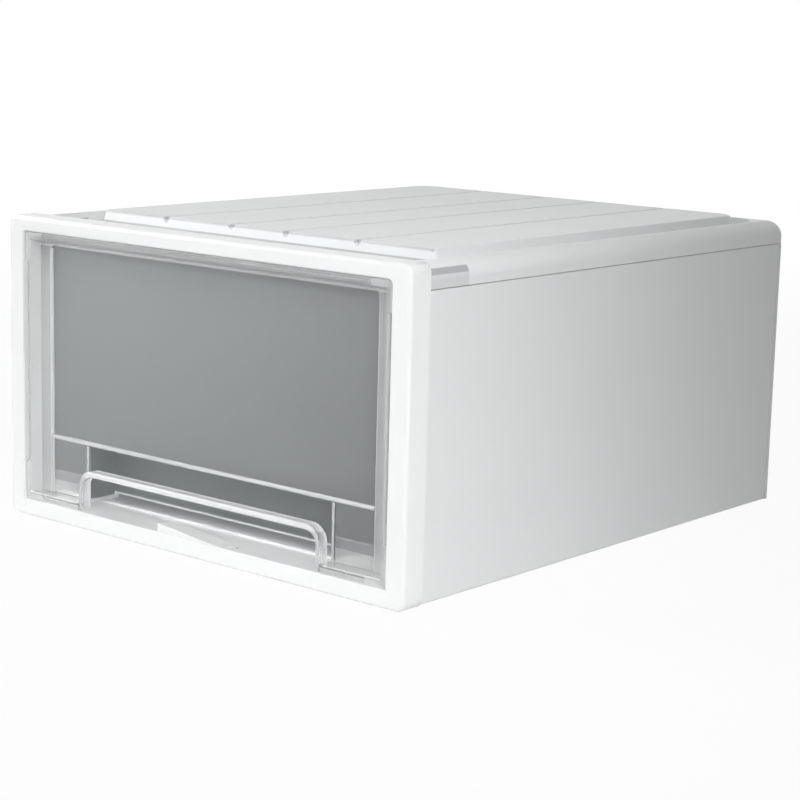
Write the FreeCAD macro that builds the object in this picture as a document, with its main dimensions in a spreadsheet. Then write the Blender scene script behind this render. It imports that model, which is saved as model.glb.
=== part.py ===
import FreeCAD, Part
import os
import re

# Stackable drawer box: a white housing with a raised, grooved top and one clear drawer.
# Millimetres. X is across the front, the drawer opens towards -Y, Z is up.
# The origin is at the middle of the footprint, on the surface that the box stands on.

doc = FreeCAD.newDocument("drawer_box")
sheet = doc.addObject("Spreadsheet::Sheet", "sizes")

# Driving dimensions, in millimetres
driving = {
    # Overall sizes
    "box_depth": 405,
    "frame_width": 340,
    "frame_height": 197.5,
    "fit_gap": 0.3,
    "overrun": 1,

    # Front frame
    "frame_depth": 17.6,
    "frame_corner": 6,
    "frame_soft_edge": 2.6,
    "stile_width": 13.5,
    "bottom_rail": 11.3,
    "top_rail": 9.6,
    "opening_corner": 3,
    "opening_soft_edge": 1,
    "channel_depth": 7,
    "sill_reach": 13.4,
    "sill_wall": 3,
    "sill_lip_height": 1.5,
    "sill_lip_width": 1.8,

    # Housing panels
    "panel_wall": 2.5,
    "side_inset": 4.4,
    "panel_bevel": 1.2,
    "joggle": 1.7,
    "tuck": 4.7,
    "ledge_width": 7,
    "ledge_wall": 2.4,
    "base_lift": 5,
    "base_wall": 2.5,
    "back_wall": 3.5,
    "back_relief": 0.8,
    "back_border": 16,
    "back_rib_width": 2.4,
    "back_rib_reach": 6,
    "ring_wall": 2,
    "ring_gap": 1.2,
    "ring_lift": 0.6,

    # Top cover
    "cover_step": 0.9,
    "cover_overhang": 1.2,
    "seam_gap": 0.5,
    "skirt_height": 15.1,
    "rim_roll": 10,
    "rim_width": 10.8,
    "rear_corner": 6,
    "valley_depth": 7.6,
    "valley_corner": 12,
    "cover_front_lip": 1.2,
    "plateau_rise": 2,
    "valley_width": 16,
    "plateau_setback": 56,
    "plateau_back": 20,
    "plateau_draft": 2.6,
    "plateau_front_corner": 3,
    "plateau_rear_corner": 14,
    "plateau_soft_edge": 0.8,
    "inner_groove_share": 0.1664,
    "outer_groove_share": 0.5821,
    "groove_width": 1.8,
    "groove_depth": 1.2,
    "notch_radius": 2.4,
    "notch_length": 4.5,
    "notch_drop": 1.2,
    "rim_core_width": 4.4,
    "rim_core_wall": 2.4,
    "rim_core_rise": 6.5,

    # Runners
    "runner_width": 17.5,
    "runner_wall": 2,
    "runner_setback": 1.3,
    "runner_end": 7,
    "guide_height": 12.8,
    "guide_wall": 2.7,
    "runner_peg_radius": 3,

    # Drawer tub
    "tub_inset": 2.5,
    "tub_wall": 2,
    "tub_lift": 17.5,
    "tub_headroom": 0.5,
    "tub_end": 11,
    "tub_round": 6.5,
    "tub_rim_height": 3,
    "tub_rim_reach": 1.6,
    "drawer_travel": 289.5,
    "stop_rib_width": 100,
    "stop_rib_wall": 3,
    "stop_rib_drop": 3.9,

    # Drawer front
    "flange_gap": 0.6,
    "front_setback": 1,
    "flange_wall": 2.2,
    "flange_width": 4.5,
    "dish_depth": 8,
    "dish_draft": 2.4,
    "dish_wall": 2,
    "side_ledge": 9.1,
    "top_ledge": 1,
    "window_step": 2,
    "window_wall": 2,
    "window_corner": 4,
    "ridge_height": 54,
    "ridge_tall": 2.4,
    "ridge_reach": 1.8,
    "pocket_width": 210.6,
    "pocket_depth": 23,
    "pocket_top": 52,
    "pocket_wall": 2.2,
    "pocket_round": 4,
    "low_tab_height": 25,
    "high_tab_height": 18,

    # Handle
    "handle_width": 208.8,
    "handle_top": 38.7,
    "bar_tall": 3.7,
    "leg_wall": 2.6,
    "handle_corner": 11.5,
    "handle_soft_edge": 0.9,

    # Stop tongue in the sill
    "tongue_length": 60,
    "tongue_shift": 1,
    "tongue_front": 1.4,
    "tongue_width": 12.6,
    "tongue_rise": 5.2,
    "tongue_wall": 2.3,
    "tongue_gap": 0.4,
    "tongue_end_gap": 0.9,
    "tongue_press": 5,
    "neck_length": 10,
    "neck_width": 7,
    "hinge_radius": 2.3,
    "hinge_inset": 3.2,
    "pin_radius": 1.2,
    "pin_gap": 0.04,
    "pin_reach": 2.6,
    "spring_width": 5,
    "spring_wall": 0.5,
    "spring_length": 22,
    "spring_gap": 0.05,
    "spring_foot_inset": 27,
    "sink_hole_radius": 0.9,
    "sink_hole_depth": 3,

    # Rivets
    "rivet_radius": 2,
    "rivet_head_radius": 3.4,
    "rivet_head": 0.8,
    "rivet_gap": 0.1,
    "back_boss_width": 6.1,
    "back_boss_length": 12,
    "back_boss_height": 10,
    "low_rivet_height": 40,
    "high_rivet_drop": 31,
    "base_rivet_inset": 50,
}
for row, (name, value) in enumerate(driving.items()):
    sheet.set("A%d" % (row + 1), name)
    sheet.set("B%d" % (row + 1), str(value))
    sheet.setAlias("B%d" % (row + 1), name)

# Places and sizes that follow from the driving dimensions
derived = {
    "front": "-box_depth / 2",
    "rear": "box_depth / 2",
    "frame_half": "frame_width / 2",
    "frame_back": "front + frame_depth",
    "opening_half": "frame_half - stile_width",
    "opening_top": "frame_height - top_rail",
    "sill_back": "frame_back + sill_reach",
    "panel_outer": "frame_half - side_inset",
    "panel_inner": "panel_outer - panel_wall",
    "cover_half": "panel_outer + cover_overhang",
    "rim_top": "frame_height - cover_step",
    "seam": "rim_top - skirt_height",
    "valley_floor": "rim_top - valley_depth",
    "cover_under": "valley_floor - panel_wall",
    "valley_half": "cover_half - rim_width",
    "rim_core_x": "valley_half + rim_core_wall",
    "plateau_half": "valley_half - valley_width",
    "plateau_top": "frame_height + plateau_rise",
    "plateau_front": "front + plateau_setback",
    "plateau_rear": "rear - plateau_back",
    "hollow_rear": "plateau_rear - plateau_rear_corner + panel_wall",
    "back_outer": "rear - cover_overhang",
    "back_inner": "back_outer - back_wall",
    "base_top": "base_lift + base_wall",
    "ring_half": "plateau_half + plateau_draft + ring_gap",
    "ring_front": "plateau_front - plateau_draft - ring_gap",
    "ring_rear": "plateau_rear + plateau_draft + ring_gap",
    "tub_half": "opening_half - tub_inset",
    "tub_front": "front_back + fit_gap",
    "tub_rear": "rear - tub_end",
    "tub_top": "seam - tub_headroom",
    "tub_floor": "tub_lift + tub_wall",
    "runner_top": "tub_lift - fit_gap",
    "guide_inner": "tub_half + fit_gap + fit_gap",
    "runner_outer": "guide_inner + guide_wall",
    "runner_inner": "runner_outer - runner_width",
    "runner_front": "front_back + runner_setback",
    "runner_rear": "rear - runner_end",
    "front_face": "front + front_setback",
    "flange_half": "opening_half - flange_gap",
    "flange_bottom": "bottom_rail + flange_gap",
    "flange_top": "opening_top - flange_gap",
    "dish_half": "flange_half - flange_width",
    "dish_bottom": "flange_bottom + flange_width",
    "dish_top": "flange_top - flange_width",
    "ledge_face": "front_face + dish_depth",
    "window_face": "ledge_face + window_step",
    "window_back": "window_face + window_wall",
    "window_half": "dish_half - dish_draft - side_ledge",
    "window_top": "dish_top - dish_draft - top_ledge",
    "pocket_half": "pocket_width / 2",
    "pocket_outer": "pocket_half + pocket_wall",
    "handle_half": "handle_width / 2",
    "pocket_back": "window_face + pocket_depth",
    "front_back": "pocket_back + pocket_wall",
    "dish_outer": "dish_half + dish_wall",
    "dish_under": "dish_bottom - dish_wall",
    "tongue_left": "-tongue_shift - tongue_length / 2",
    "tongue_right": "tongue_length / 2 - tongue_shift",
    "tongue_near": "front + tongue_front",
    "tongue_far": "tongue_near + tongue_width",
    "tongue_middle": "tongue_near + tongue_width / 2",
    "tongue_under": "bottom_rail - tongue_wall",
    "neck_left": "tongue_right - neck_length",
    "hinge_x": "tongue_right - hinge_inset",
    "hinge_height": "bottom_rail - hinge_radius",
    "well_floor": "tongue_under - tongue_press - tongue_gap",
    "spring_foot": "tongue_left + spring_foot_inset",
    "stop_face": "tongue_far + fit_gap + drawer_travel",
    "back_boss_inner": "panel_inner - back_boss_width",
    "back_rivet_x": "panel_inner - back_boss_width / 2",
    "base_rivet_x": "panel_inner - fit_gap - ledge_width / 2",
    "base_rivet_front": "sill_back + base_rivet_inset",
    "base_rivet_rear": "back_inner - base_rivet_inset",
    "rib_outer": "back_boss_inner - fit_gap",
    "rivet_hole": "rivet_radius + rivet_gap",
    "panel_rear": "back_inner - fit_gap",
    "panel_top": "seam - seam_gap",
    "high_rivet_height": "panel_top - high_rivet_drop",
    "runner_peg_x": "runner_inner + runner_width / 2",
    "runner_peg_front": "runner_front + base_rivet_inset",
    "runner_peg_rear": "runner_rear - base_rivet_inset",
    "tongue_low_y": "tongue_middle - neck_width / 2",
    "tongue_high_y": "tongue_middle + neck_width / 2",
}

pieces = []
sides = (-1, 1)
tolerance = 0.0001


def formula(text):
    """Write a formula out in the cells of the sheet."""

    def word(match):
        name = match.group(0)
        if name in derived:
            return "(" + formula(derived[name]) + ")"
        return "sizes." + name

    return re.sub("[a-z][a-z_]*", word, text)


def bind(item, formulas):
    """Tie each property of an object to its formula."""
    for key, text in formulas.items():
        item.setExpression(key, formula(text))


def both(side, inner, outer):
    """Low and high X of a stretch between two distances from the middle, on one side."""
    if side > 0:
        return inner, outer
    return "-(" + outer + ")", "-(" + inner + ")"


def mirrored(side, distance):
    """X of a place at a distance from the middle, on one side."""
    if side > 0:
        return distance
    return "-(" + distance + ")"


def start(name):
    """Begin a moulded piece."""
    item = doc.addObject("PartDesign::Body", name)
    item.Label = name
    pieces.append(item)
    return item


def block(owner, name, x, y, z, cut=False):
    """Add or cut a straight block between pairs of places."""
    kind = "PartDesign::SubtractiveBox" if cut else "PartDesign::AdditiveBox"
    item = owner.newObject(kind, owner.Name + "_" + name)
    bind(item, {
        "Length": "(%s) - (%s)" % (x[1], x[0]),
        "Width": "(%s) - (%s)" % (y[1], y[0]),
        "Height": "(%s) - (%s)" % (z[1], z[0]),
        "Placement.Base.x": x[0],
        "Placement.Base.y": y[0],
        "Placement.Base.z": z[0],
    })
    return item


def taper(owner, name, first, second, ends, turn=None, cut=False):
    """Add or cut a block whose section changes evenly from its first end to its second."""
    kind = "PartDesign::SubtractiveWedge" if cut else "PartDesign::AdditiveWedge"
    item = owner.newObject(kind, owner.Name + "_" + name)
    if turn:
        item.Placement = FreeCAD.Placement(FreeCAD.Vector(), turn)
    bind(item, {
        "Xmin": first[0], "Xmax": first[1], "Zmin": first[2], "Zmax": first[3],
        "X2min": second[0], "X2max": second[1], "Z2min": second[2], "Z2max": second[3],
        "Ymin": ends[0], "Ymax": ends[1],
    })
    return item


along_y = FreeCAD.Rotation(FreeCAD.Vector(1, 0, 0), -90)
along_z = FreeCAD.Rotation()
wedge_rises = FreeCAD.Rotation(FreeCAD.Vector(1, 0, 0), 90)
wedge_runs_across = FreeCAD.Rotation(FreeCAD.Vector(0, 0, 1), -90)


def rod(owner, name, axis, radius, length, x, y, z, cut=False):
    """Add or cut a round rod that starts at a place and runs along an axis."""
    kind = "PartDesign::SubtractiveCylinder" if cut else "PartDesign::AdditiveCylinder"
    item = owner.newObject(kind, owner.Name + "_" + name)
    item.Placement = FreeCAD.Placement(FreeCAD.Vector(), axis)
    bind(item, {
        "Radius": radius,
        "Height": length,
        "Placement.Base.x": x,
        "Placement.Base.y": y,
        "Placement.Base.z": z,
    })
    return item


def at(edge, x=None, y=None, z=None):
    """Whether an edge lies wholly at the given coordinates."""
    box = edge.BoundBox
    wanted = ((x, box.XMin, box.XMax), (y, box.YMin, box.YMax), (z, box.ZMin, box.ZMax))
    return all(
        value is None or (abs(low - value) < tolerance and abs(high - value) < tolerance)
        for value, low, high in wanted
    )


def within(edge, box):
    """Whether an edge lies inside a box, its faces included."""
    own = edge.BoundBox
    return (
        own.XMin > box.XMin - tolerance and own.XMax < box.XMax + tolerance
        and own.YMin > box.YMin - tolerance and own.YMax < box.YMax + tolerance
        and own.ZMin > box.ZMin - tolerance and own.ZMax < box.ZMax + tolerance
    )


def limits(item):
    """The box round the block, wedge or rod that a feature adds or cuts."""
    shape = item.AddSubShape.copy()
    shape.Placement = item.Placement
    return shape.BoundBox


def soften(owner, name, radius, chosen, bevel=False):
    """Round or bevel the edges of a piece that a test picks."""
    doc.recompute()
    base = owner.Tip
    names = ["Edge%d" % (i + 1) for i, edge in enumerate(base.Shape.Edges) if chosen(edge)]
    kind = "PartDesign::Chamfer" if bevel else "PartDesign::Fillet"
    item = owner.newObject(kind, owner.Name + "_" + name)
    item.Base = (base, names)
    bind(item, {"Size" if bevel else "Radius": radius})
    return item


# Front frame: a ring with a soft outer edge, a sill and the well of the stop tongue
frame = start("front_frame")
ring = block(frame, "ring", ("-frame_half", "frame_half"), ("front", "frame_back"), ("0", "frame_height"))
doc.recompute()
ring_box = limits(ring)
soften(frame, "corners", "frame_corner", lambda edge: (
    at(edge, x=ring_box.XMin, z=ring_box.ZMin) or at(edge, x=ring_box.XMax, z=ring_box.ZMin)
    or at(edge, x=ring_box.XMin, z=ring_box.ZMax) or at(edge, x=ring_box.XMax, z=ring_box.ZMax)))
soften(frame, "front_edge", "frame_soft_edge", lambda edge: at(edge, y=ring_box.YMin))
opening = block(
    frame, "opening", ("-opening_half", "opening_half"), ("front - overrun", "frame_back + overrun"),
    ("bottom_rail", "opening_top"), cut=True)
doc.recompute()
opening_box = limits(opening)
soften(frame, "opening_corners", "opening_corner", lambda edge: (
    at(edge, x=opening_box.XMin, z=opening_box.ZMax) or at(edge, x=opening_box.XMax, z=opening_box.ZMax)))
soften(frame, "opening_edge", "opening_soft_edge", lambda edge: (
    at(edge, y=ring_box.YMin) and within(edge, opening_box)))
block(frame, "sill", ("-opening_half", "opening_half"), ("frame_back - overrun", "sill_back"),
      ("bottom_rail - sill_wall", "bottom_rail"))
sill_lip = block(
    frame, "sill_lip", ("-opening_half", "opening_half"), ("sill_back - sill_lip_width", "sill_back"),
    ("bottom_rail - sill_wall", "bottom_rail + sill_lip_height"))
doc.recompute()
lip_box = limits(sill_lip)
soften(frame, "sill_lip_edge", "sill_lip_width / 3", lambda edge: (
    at(edge, z=lip_box.ZMax, y=lip_box.YMin) or at(edge, z=lip_box.ZMax, y=lip_box.YMax)))
for side in sides:
    block(frame, "channel_left" if side < 0 else "channel_right",
          both(side, "panel_inner - fit_gap", "panel_outer + fit_gap"),
          ("frame_back - channel_depth - fit_gap", "frame_back + overrun"),
          ("bottom_rail - fit_gap", "seam - top_rail + fit_gap"), cut=True)
block(frame, "well", ("tongue_left - tongue_end_gap", "neck_left + tongue_gap"),
      ("tongue_near - tongue_gap", "tongue_far + tongue_gap"),
      ("well_floor", "bottom_rail + overrun"), cut=True)
block(frame, "neck_well", ("neck_left", "tongue_right + tongue_gap"),
      ("tongue_low_y - tongue_gap", "tongue_high_y + tongue_gap"),
      ("hinge_height - hinge_radius - tongue_gap", "bottom_rail + overrun"), cut=True)
rod(frame, "pin_bore", along_y, "pin_radius + pin_gap", "frame_back + overrun - tongue_near - pin_gap",
    "hinge_x", "tongue_near + pin_gap", "hinge_height", cut=True)
rod(frame, "sink_hole", along_z, "sink_hole_radius", "sink_hole_depth + overrun",
    "tongue_right + hinge_inset", "tongue_middle", "bottom_rail - sink_hole_depth", cut=True)


# Stop tongue: a sprung ramp that holds the drawer in at the end of its travel
tongue = start("stop_tongue")
taper(tongue, "ramp",
      ("-tongue_far", "-tongue_near", "tongue_under", "bottom_rail + tongue_rise"),
      ("-tongue_far", "-tongue_near", "tongue_under", "bottom_rail"),
      ("tongue_left", "neck_left"), turn=wedge_runs_across)
doc.recompute()
soften(tongue, "ramp_edge", "tongue_gap", lambda edge: (
    edge.BoundBox.ZMin > limits(tongue.Tip).ZMin + tolerance))
block(tongue, "neck", ("neck_left - overrun", "hinge_x"),
      ("tongue_low_y", "tongue_high_y"), ("tongue_under", "bottom_rail"))
rod(tongue, "knuckle", along_y, "hinge_radius", "neck_width",
    "hinge_x", "tongue_low_y", "hinge_height")
rod(tongue, "knuckle_bore", along_y, "pin_radius + pin_gap", "neck_width + overrun + overrun",
    "hinge_x", "tongue_low_y - overrun", "hinge_height", cut=True)

# Hinge pin of the tongue, pushed in from behind
pin = start("tongue_pin")
rod(pin, "shank", along_y, "pin_radius", "frame_back - tongue_near - pin_reach",
    "hinge_x", "tongue_near + pin_reach / 2", "hinge_height")

# Leaf spring under the tongue, standing on the floor of its well
spring = start("tongue_spring")
spring_y = ("tongue_middle - spring_width / 2", "tongue_middle + spring_width / 2")
block(spring, "foot", ("spring_foot - spring_length", "spring_foot"), spring_y,
      ("well_floor", "well_floor + spring_wall"))
taper(spring, "leaf",
      ("-tongue_middle - spring_width / 2", "-tongue_middle + spring_width / 2",
       "tongue_under - spring_wall - spring_gap", "tongue_under - spring_gap"),
      ("-tongue_middle - spring_width / 2", "-tongue_middle + spring_width / 2",
       "well_floor", "well_floor + spring_wall"),
      ("spring_foot - spring_length", "spring_foot"), turn=wedge_runs_across)


# Side panels: tucked into the frame in front and under the cover's skirt above
for side, name in zip(sides, ("side_panel_left", "side_panel_right")):
    panel = start(name)
    wall = block(panel, "wall", both(side, "panel_inner", "panel_outer"),
                 ("frame_back", "panel_rear"), ("0", "panel_top"))
    doc.recompute()
    wall_box = limits(wall)
    outer_x = wall_box.XMax if side > 0 else wall_box.XMin
    soften(panel, "foot_bevel", "panel_bevel", lambda edge: at(edge, x=outer_x, z=wall_box.ZMin), bevel=True)
    block(panel, "front_tongue", both(side, "panel_inner", "panel_outer"),
          ("frame_back - channel_depth", "frame_back + overrun"), ("bottom_rail", "seam - top_rail"))
    block(panel, "top_tongue", both(side, "panel_inner - joggle", "panel_outer - joggle"),
          ("frame_back + panel_wall + fit_gap", "panel_rear"), ("seam - tuck", "cover_under"))
    block(panel, "ledge", both(side, "panel_inner - ledge_width", "panel_inner + overrun"),
          ("sill_back", "back_inner - back_rib_reach - fit_gap"), ("base_lift - ledge_wall", "base_lift"))
    for level in ("low", "high"):
        height = level + "_rivet_height"
        block(panel, level + "_boss", both(side, "back_boss_inner", "panel_inner + overrun"),
              ("panel_rear - back_boss_length", "panel_rear"),
              (height + " - back_boss_height / 2", height + " + back_boss_height / 2"))
        rod(panel, level + "_hole", along_y, "rivet_hole", "back_boss_length + overrun + overrun",
            mirrored(side, "back_rivet_x"), "panel_rear - back_boss_length - overrun", height, cut=True)
    for end in ("front", "rear"):
        rod(panel, end + "_base_hole", along_z, "rivet_hole", "base_lift",
            mirrored(side, "base_rivet_x"), "base_rivet_" + end, "base_lift - ledge_wall - overrun", cut=True)


# Back panel: a plate with a shallow relief outside, locating ribs and drawer stops inside
back = start("back_panel")
plate = block(back, "plate", ("-panel_outer", "panel_outer"),
              ("back_inner", "back_outer"), ("0", "panel_top"))
doc.recompute()
plate_box = limits(plate)
soften(back, "outer_edge", "back_relief", lambda edge: at(edge, y=plate_box.YMax))
relief = block(back, "relief", ("-panel_outer + back_border", "panel_outer - back_border"),
               ("back_outer - back_relief", "back_outer + overrun"),
               ("back_border", "panel_top - back_border"), cut=True)
doc.recompute()
relief_box = limits(relief)
soften(back, "relief_corners", "frame_corner", lambda edge: (
    (at(edge, x=relief_box.XMin) or at(edge, x=relief_box.XMax))
    and (at(edge, z=relief_box.ZMin) or at(edge, z=relief_box.ZMax))))
block(back, "top_tongue", ("-back_boss_inner", "back_boss_inner"),
      ("back_inner", "rear - panel_wall - fit_gap"), ("seam - tuck", "cover_under"))
for side, name in zip(sides, ("left", "right")):
    block(back, name + "_stop", both(side, "runner_inner", "tub_half"),
          ("tub_rear + fit_gap", "back_inner + overrun"), ("tub_lift", "tub_lift + guide_height"))
    block(back, name + "_rib", both(side, "rib_outer - back_rib_width", "rib_outer"),
          ("back_inner - back_rib_reach", "back_inner + overrun"),
          ("runner_top + guide_height + fit_gap", "seam - tuck - fit_gap"))
    for level in ("low", "high"):
        rod(back, name + "_" + level + "_hole", along_y, "rivet_hole",
            "back_wall + overrun + overrun", mirrored(side, "back_rivet_x"), "back_inner - overrun",
            level + "_rivet_height", cut=True)


# Base panel: rests on the ledges; the ring under it drops round the raised top of the box below
base = start("base_panel")
block(base, "floor", ("-panel_inner + fit_gap", "panel_inner - fit_gap"),
      ("frame_back", "panel_rear"), ("base_lift", "base_top"))
block(base, "ring", ("-ring_half - ring_wall", "ring_half + ring_wall"),
      ("ring_front - ring_wall", "ring_rear + ring_wall"), ("ring_lift", "base_lift + overrun"))
hollow = block(base, "ring_hollow", ("-ring_half", "ring_half"), ("ring_front", "ring_rear"),
               ("0", "base_lift"), cut=True)
doc.recompute()
hollow_box = limits(hollow)
soften(base, "ring_corners", "plateau_front_corner", lambda edge: (
    (at(edge, x=hollow_box.XMin) or at(edge, x=hollow_box.XMax))
    and (at(edge, y=hollow_box.YMin) or at(edge, y=hollow_box.YMax))))
for side, name in zip(sides, ("left", "right")):
    for end in ("front", "rear"):
        rod(base, name + "_" + end + "_hole", along_z, "rivet_hole", "base_wall + overrun + overrun",
            mirrored(side, "base_rivet_x"), "base_rivet_" + end, "base_lift - overrun", cut=True)
        rod(base, name + "_" + end + "_socket", along_z, "runner_peg_radius + rivet_gap",
            "base_wall + overrun + overrun",
            mirrored(side, "runner_peg_x"), "runner_peg_" + end, "base_lift - overrun", cut=True)


# Runners: the tub slides on their tops between their guides
for side, name in zip(sides, ("runner_left", "runner_right")):
    runner = start(name)
    block(runner, "rail", both(side, "runner_inner", "runner_outer"), ("runner_front", "runner_rear"),
          ("base_top", "runner_top"))
    block(runner, "hollow", both(side, "runner_inner + runner_wall", "runner_outer - runner_wall"),
          ("runner_front + runner_wall", "runner_rear - runner_wall"),
          ("base_top - overrun", "runner_top - runner_wall"), cut=True)
    guide = block(runner, "guide", both(side, "guide_inner", "runner_outer"),
                  ("runner_front", "runner_rear"), ("base_top", "runner_top + guide_height"))
    doc.recompute()
    guide_box = limits(guide)
    soften(runner, "guide_lead", "guide_wall", lambda edge: (
        at(edge, z=guide_box.ZMax, y=guide_box.YMin) or at(edge, z=guide_box.ZMax, y=guide_box.YMax)))
    for end in ("front", "rear"):
        rod(runner, end + "_peg", along_z, "runner_peg_radius", "runner_top - base_lift - runner_wall / 2",
            mirrored(side, "runner_peg_x"), "runner_peg_" + end, "base_lift")


# Top cover: a rolled rim, a valley, and the raised plateau with its grooves and notches
cover = start("top_cover")
slab = block(cover, "slab", ("-cover_half", "cover_half"), ("frame_back", "rear"), ("seam", "rim_top"))
doc.recompute()
slab_box = limits(slab)
soften(cover, "rear_corners", "rear_corner", lambda edge: (
    at(edge, x=slab_box.XMin, y=slab_box.YMax) or at(edge, x=slab_box.XMax, y=slab_box.YMax)))
soften(cover, "roll", "rim_roll", lambda edge: (
    at(edge, z=slab_box.ZMax) and not at(edge, y=slab_box.YMin)))
valley = block(cover, "valley", ("-valley_half", "valley_half"),
               ("frame_back + cover_front_lip", "rear - rim_width"),
               ("valley_floor", "rim_top + overrun"), cut=True)
doc.recompute()
valley_box = limits(valley)
soften(cover, "valley_corners", "valley_corner", lambda edge: (
    (at(edge, x=valley_box.XMin) or at(edge, x=valley_box.XMax))
    and (at(edge, y=valley_box.YMin) or at(edge, y=valley_box.YMax))))
plateau = taper(cover, "plateau",
                ("-plateau_half - plateau_draft", "plateau_half + plateau_draft",
                 "-plateau_rear - plateau_draft", "-plateau_front + plateau_draft"),
                ("-plateau_half", "plateau_half", "-plateau_rear", "-plateau_front"),
                ("valley_floor - overrun", "plateau_top"), turn=wedge_rises)
doc.recompute()
plateau_box = limits(plateau)


def plateau_corner(edge, at_rear):
    """Whether an edge is one of the upright corners of the plateau, in front or behind."""
    box = edge.BoundBox
    middle = edge.CenterOfMass
    upright = abs(box.ZMax - plateau_box.ZMax) < tolerance and abs(box.ZMin - valley_box.ZMin) < tolerance
    inside = abs(middle.x) < valley_box.XMax and valley_box.YMin < middle.y < valley_box.YMax
    behind = middle.y > plateau_box.Center.y
    return upright and inside and behind == at_rear


soften(cover, "plateau_rear_corners", "plateau_rear_corner", lambda edge: plateau_corner(edge, True))
soften(cover, "plateau_front_corners", "plateau_front_corner", lambda edge: plateau_corner(edge, False))
soften(cover, "plateau_edge", "plateau_soft_edge", lambda edge: at(edge, z=plateau_box.ZMax))
for side, name in zip(sides, ("left", "right")):
    for spread in ("inner", "outer"):
        middle = mirrored(side, "plateau_half * " + spread + "_groove_share")
        block(cover, name + "_" + spread + "_groove",
              (middle + " - groove_width / 2", middle + " + groove_width / 2"),
              ("plateau_front - plateau_draft", "plateau_rear + plateau_draft"),
              ("plateau_top - groove_depth", "plateau_top + overrun"), cut=True)
        for end in ("front", "rear"):
            from_y = ("plateau_front - plateau_draft" if end == "front"
                      else "plateau_rear + plateau_draft - notch_length")
            rod(cover, name + "_" + spread + "_" + end + "_notch", along_y, "notch_radius", "notch_length",
                middle, from_y, "plateau_top - notch_drop", cut=True)
    block(cover, name + "_rim_core", both(side, "rim_core_x", "rim_core_x + rim_core_width"),
          ("frame_back + rim_core_wall", "rear - rim_width - valley_corner"),
          ("cover_under - overrun", "cover_under + rim_core_rise"), cut=True)
block(cover, "skirt_hollow", ("-cover_half + panel_wall", "cover_half - panel_wall"),
      ("frame_back + panel_wall", "rear - panel_wall"), ("seam - overrun", "cover_under"), cut=True)
taper(cover, "plateau_hollow",
      ("-plateau_half - plateau_draft + panel_wall", "plateau_half + plateau_draft - panel_wall",
       "-hollow_rear", "-plateau_front + plateau_draft - panel_wall"),
      ("-plateau_half + panel_wall", "plateau_half - panel_wall",
       "-hollow_rear", "-plateau_front - panel_wall"),
      ("cover_under - overrun", "plateau_top - panel_wall"), turn=wedge_rises, cut=True)


# Drawer tub: a box of its own, with a front wall behind the clear front
tub = start("drawer_tub")
shell = block(tub, "shell", ("-tub_half", "tub_half"), ("tub_front", "tub_rear"), ("tub_lift", "tub_top"))
room = block(tub, "room", ("-tub_half + tub_wall", "tub_half - tub_wall"),
             ("tub_front + tub_wall", "tub_rear - tub_wall"), ("tub_floor", "tub_top + overrun"), cut=True)
doc.recompute()
for name, radius, solid in (("inner", "tub_round - tub_wall", room), ("outer", "tub_round", shell)):
    corner = limits(solid)
    soften(tub, name + "_round", radius, lambda edge: at(edge, z=corner.ZMin) or (
        (at(edge, x=corner.XMin) or at(edge, x=corner.XMax))
        and (at(edge, y=corner.YMin) or at(edge, y=corner.YMax))))
for side, name in zip(sides, ("left", "right")):
    block(tub, name + "_rim", both(side, "tub_half - tub_wall / 2", "tub_half + tub_rim_reach"),
          ("tub_front + tub_round", "tub_rear - tub_round"), ("tub_top - tub_rim_height", "tub_top"))
block(tub, "stop_rib", ("-stop_rib_width / 2", "stop_rib_width / 2"),
      ("stop_face", "stop_face + stop_rib_wall"), ("tub_lift - stop_rib_drop", "tub_floor"))


# Drawer front: a clear dished moulding with a window, a ridge, a finger pocket and deep feet
face = start("drawer_front")
flange = block(face, "flange", ("-flange_half", "flange_half"), ("front_face", "front_face + flange_wall"),
               ("flange_bottom", "flange_top"))
doc.recompute()
flange_box = limits(flange)
soften(face, "flange_corners", "opening_corner - flange_gap", lambda edge: (
    at(edge, x=flange_box.XMin, z=flange_box.ZMax) or at(edge, x=flange_box.XMax, z=flange_box.ZMax)))
for side, name in zip(sides, ("left", "right")):
    block(face, name + "_flange_relief", both(side, "dish_outer", "flange_half + overrun"),
          ("front", "front_face + flange_wall + overrun"),
          ("flange_bottom + low_tab_height", "flange_top - high_tab_height"), cut=True)
block(face, "dish", ("-dish_outer", "dish_outer"), ("front_face", "window_back"),
      ("dish_under", "dish_top + dish_wall"))
taper(face, "dish_hollow", ("-dish_half", "dish_half", "dish_bottom", "dish_top"),
      ("-dish_half + dish_draft", "dish_half - dish_draft", "dish_bottom", "dish_top - dish_draft"),
      ("front_face", "ledge_face"), cut=True)
window = block(face, "window_recess", ("-window_half", "window_half"),
               ("ledge_face - overrun", "window_face"), ("dish_bottom", "window_top"), cut=True)
doc.recompute()
window_box = limits(window)
soften(face, "window_corners", "window_corner", lambda edge: (
    edge.BoundBox.YLength > tolerance
    and (at(edge, x=window_box.XMin, z=window_box.ZMax) or at(edge, x=window_box.XMax, z=window_box.ZMax))))
ridge = block(face, "ridge", ("-window_half", "window_half"),
              ("window_face - ridge_reach", "window_face + overrun"),
              ("ridge_height - ridge_tall / 2", "ridge_height + ridge_tall / 2"))
doc.recompute()
ridge_box = limits(ridge)
soften(face, "ridge_edge", "ridge_tall / 3", lambda edge: (
    at(edge, y=ridge_box.YMin) and edge.BoundBox.XLength > tolerance))
for side, name in zip(sides, ("left", "right")):
    block(face, name + "_cheek", both(side, "dish_half", "dish_outer"),
          ("window_back - overrun", "front_back"), ("dish_under", "tub_top"))
    block(face, name + "_floor", both(side, "pocket_half", "dish_outer"),
          ("window_back - overrun", "front_back"), ("dish_under", "dish_bottom"))
block(face, "pocket_shell", ("-pocket_outer", "pocket_outer"), ("window_face", "front_back"),
      ("dish_under", "pocket_top + pocket_wall"))
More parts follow.
